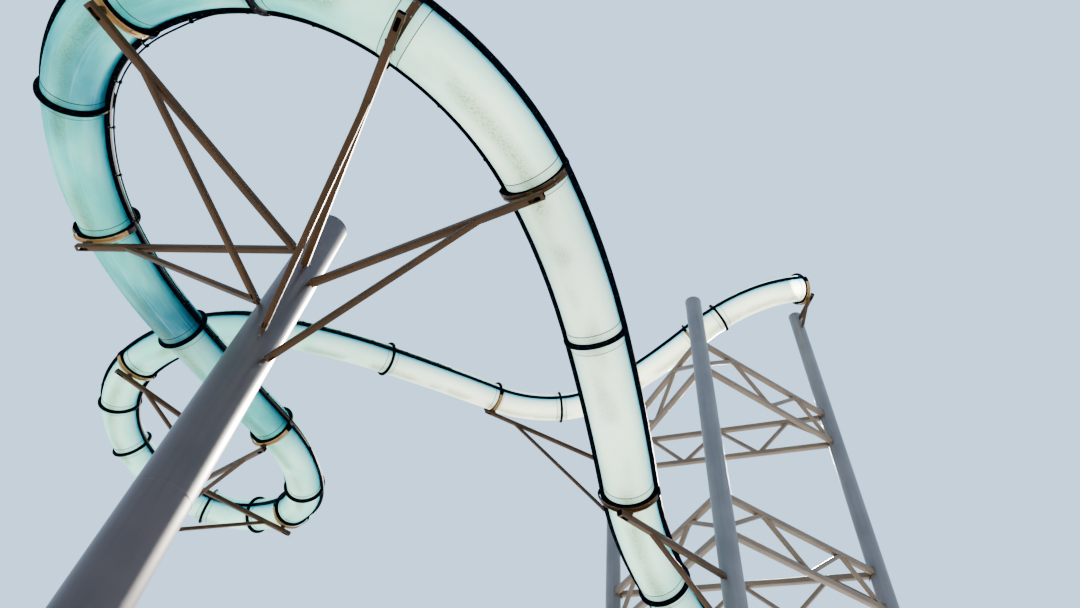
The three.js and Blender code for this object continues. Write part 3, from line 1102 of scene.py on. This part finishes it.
@dataclass(frozen=True)
class Column:
    """One mast or leg: a rolled steel tube on a base plate."""

    name: str
    x: float
    y: float
    height: float
    foot_radius: float
    head_radius: float
    paint: Finish
    slot: str
    domed: bool = False
    seams: tuple[float, ...] = ()
    sides: int = 64
    core_radius: float = 0.01
    cap_height: float = 0.020
    cap_lip: float = 0.004
    plate_size: float = 1.1
    plate_thickness: float = 0.04
    stiffeners: int = 8
    stiffener_height: float = 0.36
    stiffener_half_thickness: float = 0.008
    anchor_turn: float = 0.16
    anchor_size: float = 0.036
    bead_height: float = 0.0025
    bead_rises: tuple[float, ...] = (-0.0055, -0.0035, 0.0035, 0.0055)

    def axis_at(self, height: float) -> Vector:
        """Returns the place on the axis at a height."""
        return Vector((self.x, self.y, height))

    def radius_at(self, height: float) -> float:
        """Returns the radius at a height."""
        share = height / self.height
        return self.foot_radius + (self.head_radius - self.foot_radius) * share

    def profile(self) -> Outline:
        """Outlines the wall from the base plate up, with weld beads and a flat or domed cap.

        Returns:
            Radius and height of each point.
        """
        bottom, head, rim = self.plate_thickness, self.height, self.head_radius
        lip, top = rim + self.cap_lip, head + self.cap_height
        points = [(self.foot_radius, bottom)]
        # The bead's flanks are steep, so that the shading of the wall ends sharply at them
        beads = (0.0, self.bead_height, self.bead_height, 0.0)
        for seam in self.seams:
            for rise, bead in zip(self.bead_rises, beads):
                points.append((self.radius_at(seam + rise) + bead, seam + rise))
        points.append((self.radius_at(head - 0.2), head - 0.2))
        if self.domed:
            points += [(rim, head - 0.045), (lip, head - 0.043), (lip, head)]
            for a in (0.5, 1.0, 1.35):
                points.append((rim * math.cos(a), head + self.cap_height * math.sin(a)))
        else:
            points += [(rim, head - 0.002), (lip, head), (lip, head + 0.018), (lip - 0.003, top)]
        return points + [(self.core_radius, top), (self.core_radius, bottom)]

    def add_stiffeners(self, draft: Draft) -> None:
        """Adds the stiffeners round the foot, with two anchor bolts beside each.

        Args:
            draft: The draft that gets them.
        """
        base, half = self.axis_at(self.plate_thickness), self.plate_size / 2
        rise = UP * self.stiffener_height
        for k in range(self.stiffeners):
            angle = 2 * math.pi * (k + 0.5) / self.stiffeners
            out = spoke(angle)
            root = base + out * (self.foot_radius - 0.01)
            tip = base + out * (half - 0.06)
            outline = [root, tip, tip + UP * 0.05, root + rise + out * 0.03, root + rise]
            draft.sheet(outline, UP.cross(out) * self.stiffener_half_thickness, self.paint)
            for turn in (-self.anchor_turn, self.anchor_turn):
                seat = base + spoke(angle + turn) * (half - 0.09)
                draft.hexagon_bolt(seat, UP, self.anchor_size, FASTENER)

    def build(self, stubs: Sequence["Member"]) -> None:
        """Builds the column with its base plate, stiffeners, bolts, seams and stubs.

        Args:
            stubs: The members that this column carries.
        """
        draft = Draft()
        foot = Matrix.Translation(self.axis_at(0.0))
        plate = rounded(self.plate_size, self.plate_size, 0.02)
        draft.prism(plate, foot, (0.0, self.plate_thickness), self.paint)
        draft.lathe(foot, self.profile(), self.paint, self.sides)
        self.add_stiffeners(draft)
        for member in stubs:
            member.add_lug(draft)
        add_piece(self.name, draft, self.name)


@dataclass(frozen=True)
class Member:
    """A square hollow beam or brace that runs from a column's axis to a far end."""

    column: Column
    height: float
    end: Vector
    size: float
    wall: float = 0.008
    stub_length: float = 0.080
    lug_thickness: float = 0.025
    lug_reach: float = 0.100
    lug_root: float = 0.08
    lug_clearance: float = 0.008
    weld_reach: float = 0.012
    weld_size: float = 0.014
    end_gap: float = 0.0004
    slot_margin: float = 0.012
    bolt_reaches: tuple[float, float] = (0.032, 0.076)
    bolt_size: float = 0.012

    @property
    def foot(self) -> Vector:
        """The point on the column's axis."""
        return self.column.axis_at(self.height)

    @property
    def axis(self) -> Vector:
        """The way from the column to the far end."""
        return (self.end - self.foot).normalized()

    @property
    def to_surface(self) -> float:
        """How far the column's wall lies from the foot, along the member."""
        return self.column.radius_at(self.height) / math.hypot(self.axis.x, self.axis.y)

    @property
    def joint(self) -> Vector:
        """The middle of the member's end at the column."""
        return self.foot + self.axis * (self.to_surface + self.stub_length)

    def slot_span(self) -> tuple[float, float]:
        """Returns where the slot in the lower wall lies: near the column's end."""
        return 0.030, 0.100

    def add_lug(self, draft: Draft) -> None:
        """Adds the fin plate that is welded to the column and runs into the member's end.

        Args:
            draft: The draft that gets it.
        """
        depth = self.size - 2 * self.wall - self.lug_clearance
        start = self.foot + self.axis * (self.to_surface - self.lug_root)
        end = self.joint + self.axis * self.lug_reach
        draft.sweep((start, end), rounded(self.lug_thickness, depth, 0.003), ARM_PAINT)
        end = self.foot + self.axis * (self.to_surface + self.weld_reach)
        width, depth = self.lug_thickness + self.weld_size, depth + self.weld_size
        draft.sweep((start, end), rounded(width, depth, 0.006), WELD_METAL)

    def add_section(self, draft: Draft, start: Vector) -> None:
        """Adds the open hollow section with a slot in its lower wall.

        Args:
            draft: The draft that gets it.
            start: The middle of its end at the column.
        """
        size, wall, margin = self.size, self.wall, self.slot_margin
        axis = (self.end - start).normalized()
        slot_start, slot_end = self.slot_span()
        length = (self.end - start).length
        reaches = (0.0, slot_start - margin, slot_end + margin, length)
        places = [across(start + axis * reach, axis) for reach in reaches]
        outer = rounded(size, size, 2 * wall)
        inner = rounded(size - 2 * wall, size - 2 * wall, wall)
        rows = [section_at(outer, place) for place in places]
        rows += [section_at(inner, place) for place in reversed(places)]

        def finish(r: int, i: int) -> Finish | None:
            """Gives a row's face its finish, or None round the slot in the lower wall."""
            if r % len(places) == 1 and i == LOWER_FLAT:
                return None
            # The inside walls wear the near-black strip coat as painted shade in the open ends
            inside = len(places) <= r < 2 * len(places) - 1
            return STRIP_COAT if inside else ARM_PAINT

        draft.loft(rows, finish, looped=True)
        middle = across(start + axis * ((slot_start + slot_end) / 2), axis)
        hole = rounded(0.52 * size, slot_end - slot_start, 0.16 * size)
        flat_width = 2 * (size / 2 - 2 * wall)
        edge = rounded(flat_width, slot_end - slot_start + 2 * margin, 0.0004)
        below_edge, below_hole, above_edge, above_hole = (
            [middle @ Vector((x, level, z)) for x, z in outline]
            for level in (-size / 2, wall - size / 2)
            for outline in (edge, hole)
        )
        draft.loft([below_edge, below_hole, above_hole, above_edge], ARM_PAINT)

    def build(self, draft: Draft) -> None:
        """Builds the hollow section and two bolts a side through the lug.

        Args:
            draft: The draft that gets them.
        """
        start = self.joint + self.axis * self.end_gap
        self.add_section(draft, start)
        place = across(start, self.axis)
        for side in (1.0, -1.0):
            for reach in self.bolt_reaches:
                spot, way = (side * self.size / 2, 0.0, reach), Vector((side, 0.0, 0.0))
                draft.bolt_on(place, spot, way, self.bolt_size, FASTENER)


@dataclass(frozen=True)
class Beam(Member):
    """A member that carries the tube and runs on past it."""

    wall: float = 0.010

    def slot_span(self) -> tuple[float, float]:
        """Returns where the slot in the lower wall lies: near the free end."""
        length = (self.end - self.joint).length
        return length - 0.220, length - 0.050


# Arms


@dataclass(frozen=True)
class Saddle:
    """The rolled plate that cradles a pair of ring flanges, with brackets up to the strips."""

    ring: Matrix
    paint: Finish = LIT_SADDLE_PAINT
    foot_drop: float = 0.590
    inner: float = 0.5325
    outer: float = 0.544
    rib: float = 0.586
    half_width: float = 0.052
    half_web: float = 0.006
    reach: float = math.radians(64)
    steps: int = 32
    bolt_size: float = 0.012
    bolt_aside: float = 0.032
    bracket_half_width: float = 0.050
    bracket_bolt_line: float = 0.486
    bracket_bolt_aside: float = 0.036

    @property
    def foot(self) -> Vector:
        """The lowest point."""
        return self.ring @ Vector((0.0, -self.foot_drop, 0.0))

    def add_plate(self, draft: Draft) -> None:
        """Adds the curved plate with its rib and bolts.

        Args:
            draft: The draft that gets it.
        """
        inner, outer, rib = self.inner, self.outer, self.rib
        half, web = self.half_width, self.half_web
        profile = ((inner, -half), (inner, half), (outer, half), (outer, web), (rib, web))
        profile += ((rib, -web), (outer, -web), (outer, -half))
        rows = []
        for k in range(self.steps + 1):
            out = spoke(-math.pi / 2 - self.reach + 2 * self.reach * k / self.steps)
            # The rib below the plate runs out towards its ends
            share = max(0.0, 1.0 - (abs(2 * k / self.steps - 1) / 0.8) ** 4)
            depth = outer + 0.001 + (rib - outer - 0.001) * share
            radii = [depth if radius == rib else radius for radius, _ in profile]
            row = [out * r + Vector((0.0, 0.0, z)) for r, (_, z) in zip(radii, profile)]
            rows.append([self.ring @ point for point in row])
        draft.solid(rows, self.paint)
        for k in (-3, -2, 2, 3):
            out = spoke(-math.pi / 2 + self.reach * 0.92 * k / 3)
            for z in (-self.bolt_aside, self.bolt_aside):
                spot = out * outer + Vector((0.0, 0.0, z))
                draft.bolt_on(self.ring, spot, out, self.bolt_size, FASTENER)

    def add_brackets(self, draft: Draft) -> None:
        """Adds the bracket that hangs each end of the plate from the strips.

        Args:
            draft: The draft that gets them.
        """
        tip = self.reach - math.radians(6)
        x, y = self.inner * math.sin(tip), -self.inner * math.cos(tip)
        outline = [(x + 0.012, y), (0.540, -0.120), (0.520, -0.026), (0.462, -0.026)]
        outline += [(0.462, -0.033), (0.512, -0.033), (0.531, -0.118), (x + 0.003, y)]
        half = self.bracket_half_width
        for side in (1, -1):
            corners = [(side * x, y) for x, y in outline][::side]
            draft.prism(corners, self.ring, (-half, half), STRIP_COAT)
            for z in (-self.bracket_bolt_aside, self.bracket_bolt_aside):
                spot = (side * self.bracket_bolt_line, -0.033, z)
                draft.bolt_on(self.ring, spot, DOWN_ACROSS, self.bolt_size, FASTENER)

    def build(self, draft: Draft) -> None:
        """Adds the whole saddle to a draft."""
        self.add_plate(draft)
        self.add_brackets(draft)


@dataclass(frozen=True)
class Arm:
    """A bracket that carries the slide under one ring."""

    ring: int
    column: Column
    climb: float
    brace_drop: float
    overhang: float
    # The saddle's paint: the lit tan, or the arms' own paint as painted shade
    saddle_paint_for_light: Finish = LIT_SADDLE_PAINT
    beam_size: float = 0.110
    brace_size: float = 0.085
    brace_spot: float = 0.18
    foot_height: float = 0.100
    post_size: float = 0.100
    plate_size: float = 0.128
    plate_thickness: float = 0.016
    bolt_spot: float = 0.052
    bolt_size: float = 0.009

    def lines(self, ring: Matrix) -> tuple[Beam, Member]:
        """Lays the beam and the brace as the CAD model does.

        Args:
            ring: The place across the ring.

        Returns:
            The beam and the brace.
        """
        under = Saddle(ring).foot - UP * self.foot_height
        axis = self.column.axis_at(under.z + self.climb)
        outward = (under - axis).normalized()
        beam = Beam(self.column, axis.z, under + outward * self.overhang, self.beam_size)
        spot = under.lerp(axis, self.brace_spot)
        brace = Member(self.column, axis.z - self.brace_drop, spot, self.brace_size)
        return beam, brace

    def build(self, ring: Matrix) -> None:
        """Builds the arm under its ring.

        Args:
            ring: The place across the ring.
        """
        draft = Draft()
        saddle = Saddle(ring, self.saddle_paint_for_light)
        for member in self.lines(ring):
            member.build(draft)
        self.add_foot(draft, saddle.foot)
        saddle.build(draft)
        add_piece(f"arm_{self.ring:02d}", draft, f"arm_ring_{self.ring:02d}")

    def add_foot(self, draft: Draft, foot: Vector) -> None:
        """Adds the short post between the beam and the saddle, with its plate and bolts.

        Args:
            draft: The draft that gets it.
            foot: The saddle's lowest point.
        """
        post = (foot - UP * (self.foot_height + 0.01), foot + UP * 0.02)
        draft.sweep(post, rounded(self.post_size, self.post_size, 0.012), ARM_PAINT)
        seat = foot - UP * (self.foot_height - self.beam_size / 2 + 0.004)
        plate = rounded(self.plate_size, self.plate_size, 0.008)
        top = self.plate_thickness
        draft.prism(plate, Matrix.Translation(seat), (0.0, top), ARM_PAINT)
        for x, y in CORNERS:
            spot = seat + Vector((x * self.bolt_spot, y * self.bolt_spot, top))
            draft.hexagon_bolt(spot, UP, self.bolt_size, FASTENER)


@dataclass(frozen=True)
class HeadSaddle:
    """The saddle that stands on the far leg's head."""

    leg: Column
    ring: int = 3
    plate_size: float = 0.56
    plate_thickness: float = 0.04
    stool_size: float = 0.16
    stiffener_rise: float = 0.16
    stiffener_half_thickness: float = 0.006
    bolt_spot: float = 0.23
    bolt_size: float = 0.020

    def build(self, ring: Matrix) -> None:
        """Builds the seat plate, the stool and the saddle.

        Args:
            ring: The place across the ring.
        """
        draft = Draft()
        saddle = Saddle(ring)
        bottom = self.leg.height + (self.leg.cap_height + GAP)
        top = bottom + self.plate_thickness
        place = Matrix.Translation(self.leg.axis_at(bottom))
        plate = rounded(self.plate_size, self.plate_size, 0.02)
        draft.prism(plate, place, (0.0, self.plate_thickness), ARM_PAINT)
        base = Vector((saddle.foot.x, saddle.foot.y, top - 0.004))
        stool = rounded(self.stool_size, self.stool_size, 0.012)
        draft.sweep((base, saddle.foot + UP * 0.02), stool, ARM_PAINT)
        rise = UP * self.stiffener_rise
        for x, y in ((1, 0), (-1, 0), (0, 1), (0, -1)):
            out = Vector((x, y, 0.0))
            root = base + out * (self.stool_size / 2 - 0.002)
            outline = [root, root + out * 0.10, root + out * 0.01 + rise, root + rise]
            draft.sheet(outline, UP.cross(out) * self.stiffener_half_thickness, ARM_PAINT)
        for x, y in CORNERS:
            seat = self.leg.axis_at(top) + Vector((x * self.bolt_spot, y * self.bolt_spot, 0.0))
            draft.hexagon_bolt(seat, UP, self.bolt_size, FASTENER)
        saddle.build(draft)
        add_piece("leg_head_saddle", draft, "head_saddle")


# Lattices


@dataclass(frozen=True)
class LatticeSide:
    """One side of the tower at one level: two chords with a zigzag of webs between them."""

    level: str
    side: str
    start: Column
    end: Column
    top: float
    bottom: float
    zigzag: tuple[tuple[float, float], ...]
    chord_size: float = 0.130
    web_size: float = 0.090
    plate_height: float = 0.230
    plate_span: tuple[float, float] = (0.010, 0.026)
    bolt_spot: tuple[float, float, float] = (0.042, 0.092, 0.026)
    bolt_size: float = 0.014

    def spot(self, share: float, depth: float) -> Vector:
        """Returns the point at a share of the span and a share of the depth."""
        level = self.start.axis_at(0.0).lerp(self.end.axis_at(0.0), share)
        return Vector((level.x, level.y, self.bottom + (self.top - self.bottom) * depth))

    def add_end_plate(self, draft: Draft, place: Matrix, way: int) -> None:
        """Adds the plate with four bolts that a chord ends in.

        Args:
            draft: The draft that gets it.
            place: The place across the chord's end.
            way: 1 where the chord runs on along the place's Z, and -1 where it runs back.
        """
        plate = rounded(self.chord_size, self.plate_height, 0.008)
        draft.prism(plate, place, sorted(z * way for z in self.plate_span), LATTICE_PAINT)
        x, y, z = self.bolt_spot
        for up in (1, -1):
            for aside in (1, -1):
                spot = (aside * x, up * y, z * way)
                draft.bolt_on(place, spot, UP * way, self.bolt_size, FASTENER)

    def build(self) -> None:
        """Builds chords, webs, end plates and bolts."""
        draft = Draft()
        origin = self.spot(0, 0)
        span = self.spot(1, 0) - origin
        along = span.normalized()
        near = self.start.foot_radius + GAP
        far = span.length - self.end.foot_radius - GAP
        chord = rounded(self.chord_size, self.chord_size, 0.012)
        for depth in (0, 1):
            base = self.spot(0, depth)
            draft.sweep((base + along * near, base + along * far), chord, LATTICE_PAINT)
            for reach, way in ((near, 1), (far, -1)):
                self.add_end_plate(draft, across(base + along * reach, along), way)
        web = rounded(self.web_size, self.web_size, 0.010)
        for first, second in zip(self.zigzag, self.zigzag[1:]):
            start, end = self.spot(*first), self.spot(*second)
            run = max((end - start).dot(along), 1e-6)
            ends = []
            for point, share in ((start, 0), (end, 1)):
                reach = (point - origin).dot(along)
                # A web that would run into a leg is cut short at its wall
                share += (min(max(reach, near), far) - reach) / run
                ends.append(start.lerp(end, share))
            draft.sweep(ends, web, LATTICE_PAINT)
        name = f"lattice_{self.level}_{self.side}"
        add_piece(f"{name}_dressed", draft, name)


# Studio


@dataclass(frozen=True)
class Studio:
    """Floor, light and camera."""

    floor_size: float = 240.0
    eye: tuple[float, float, float] = (3.63, -6.45, 1.6)
    right: tuple[float, float, float] = (0.9894, -0.1144, 0.0899)
    top: tuple[float, float, float] = (-0.1455, -0.7779, 0.6113)
    focal_px: float = 682.83
    frame_width_px: float = 1080.0
    sensor_mm: float = 36.0
    far_clip: float = 500.0
    sky_colour: str = "BCD8F2"
    sky_strength: float = 0.7
    sun_colour: str = "FFF6E8"
    sun_energy: float = 14.0
    sun_angle: float = math.radians(6)
    sun_towards: tuple[float, float, float] = (0.3555, 0.7478, 0.6842)
    lamp_spot: tuple[float, float, float] = (30.0, 60.0, 60.0)
    look: str = "AgX - Medium High Contrast"
    exposure: float = 1.05

    def build_floor(self) -> None:
        """Lays the floor."""
        half = self.floor_size / 2
        mesh = bpy.data.meshes.new("studio_floor")
        corners = [(x * half, y * half, 0.0) for x, y in CORNERS]
        mesh.from_pydata(corners, [], [(0, 1, 2, 3)])
        mesh.materials.append(FLOOR_FINISH.material())
        floor = bpy.data.objects.new("studio_floor", mesh)
        bpy.context.scene.collection.objects.link(floor)

    def build_light(self) -> None:
        """Sets a pale backdrop and one soft light from behind the tower, as in the photograph."""
        world = bpy.data.worlds.new("studio_sky")
        world.use_nodes = True
        sky = world.node_tree.nodes["Background"]
        sky.inputs["Color"].default_value = linear(self.sky_colour)
        sky.inputs["Strength"].default_value = self.sky_strength
        bpy.context.scene.world = world
        sun = bpy.data.lights.new("soft_key", "SUN")
        sun.energy, sun.angle = self.sun_energy, self.sun_angle
        sun.color = linear(self.sun_colour)[:3]
        lamp = bpy.data.objects.new("soft_key", sun)
        lamp.rotation_mode = "QUATERNION"
        lamp.rotation_quaternion = Vector(self.sun_towards).to_track_quat("Z", "Y")
        lamp.location = self.lamp_spot
        bpy.context.scene.collection.objects.link(lamp)

    def build_camera(self) -> None:
        """Sets the camera where the photograph was taken from."""
        data = bpy.data.cameras.new("photo_view")
        data.sensor_width = self.sensor_mm
        data.lens = self.focal_px * self.sensor_mm / self.frame_width_px
        data.clip_end = self.far_clip
        camera = bpy.data.objects.new("photo_view", data)
        right, top = Vector(self.right).normalized(), Vector(self.top).normalized()
        axes = Matrix((right, top, right.cross(top))).transposed().to_4x4()
        camera.matrix_world = Matrix.Translation(Vector(self.eye)) @ axes
        bpy.context.scene.collection.objects.link(camera)
        bpy.context.scene.camera = camera

    def set_look(self) -> None:
        """Sets the picture's contrast and brightness."""
        view = bpy.context.scene.view_settings
        view.look, view.exposure = self.look, self.exposure

    def build(self) -> None:
        """Builds the whole studio."""
        self.set_look()
        self.build_floor()
        self.build_light()
        self.build_camera()


# The tower


SHORT_ZIGZAG = ((0, 0.1), (0.25, 1), (0.49, 0), (0.74, 1), (0.95, 0))
LONG_ZIGZAG = ((0, 0.1), (0.185, 1), (0.335, 0), (0.505, 1), (0.67, 0), (0.825, 1), (1, 0.1))
LEVELS = {"upper": (15.73, 14.73), "lower": (10.83, 9.92)}


@dataclass
class SlideTower:
    """The whole machine."""

    slide: Slide = field(default_factory=Slide)
    front_mast: Column = Column(
        "front_mast", 0.0, 0.0, 10.98, 0.370, 0.265, MAST_PAINT, "mast_steel", seams=(5.63,)
    )
    rear_mast: Column = Column(
        "rear_mast", -4.59, 9.0, 13.9, 0.300, 0.250, MAST_PAINT, "mast_steel", seams=(7.0,)
    )
    near_leg: Column = Column(
        "near_leg", 7.97, 5.13, 17.44, 0.218, 0.218, LEG_PAINT, "leg_steel", True, (6.0, 12.0)
    )
    far_leg: Column = Column(
        "far_leg", 6.53, 9.7, 17.2, 0.193, 0.193, LEG_PAINT, "leg_steel", False, (6.0, 12.0)
    )
    right_leg: Column = Column(
        "right_leg", 12.24, 7.2, 20.3, 0.203, 0.203, LEG_PAINT, "leg_steel", True, (6.0, 12.0)
    )

    def arms(self) -> list[Arm]:
        """Lists the arms from the top down."""
        return [
            Arm(0, self.right_leg, 0.0, 0.600, 0.300),
            Arm(2, self.near_leg, -1.200, 1.200, 0.300),
            Arm(5, self.far_leg, -1.500, 1.800, 0.280),
            Arm(9, self.rear_mast, 0.150, 0.950, 0.330),
            Arm(15, self.rear_mast, -0.050, 1.400, 0.250),
            Arm(17, self.rear_mast, 0.430, 0.850, 0.080),
            Arm(19, self.front_mast, -0.060, 1.550, 0.150),
            Arm(21, self.front_mast, 0.0, 1.500, 0.130),
            # These saddles keep the darker arm paint as painted shade
            Arm(23, self.front_mast, 0.0, 1.700, 0.430, ARM_PAINT),
            Arm(24, self.front_mast, -0.180, 1.850, 0.200, ARM_PAINT),
            Arm(26, self.near_leg, 0.450, 1.300, 0.250, ARM_PAINT),
            Arm(28, self.near_leg, 0.0, 0.900, 0.250),
        ]

    def build(self) -> None:
        """Builds every sub-assembly."""
        self.slide.build()
        FeedPipe(self.slide.arcs).build()
        rings = self.slide.rings()
        arms = self.arms()
        for arm in arms:
            arm.build(rings[arm.ring])
        head = HeadSaddle(self.far_leg)
        head.build(rings[head.ring])
        columns = (self.front_mast, self.rear_mast, self.near_leg, self.far_leg, self.right_leg)
        for column in columns:
            carried = [arm for arm in arms if arm.column is column]
            column.build([m for arm in carried for m in arm.lines(rings[arm.ring])])
        for level, (top, bottom) in LEVELS.items():
            for side, start, end, zigzag in (
                ("left", self.near_leg, self.far_leg, SHORT_ZIGZAG),
                ("right", self.near_leg, self.right_leg, SHORT_ZIGZAG),
                ("back", self.far_leg, self.right_leg, LONG_ZIGZAG),
            ):
                LatticeSide(level, side, start, end, top, bottom, zigzag).build()


def main() -> None:
    """Builds the tower and its studio."""
    logging.basicConfig(level=logging.INFO, format="%(message)s")
    SlideTower().build()
    Studio().build()


if __name__ == "__main__":
    main()
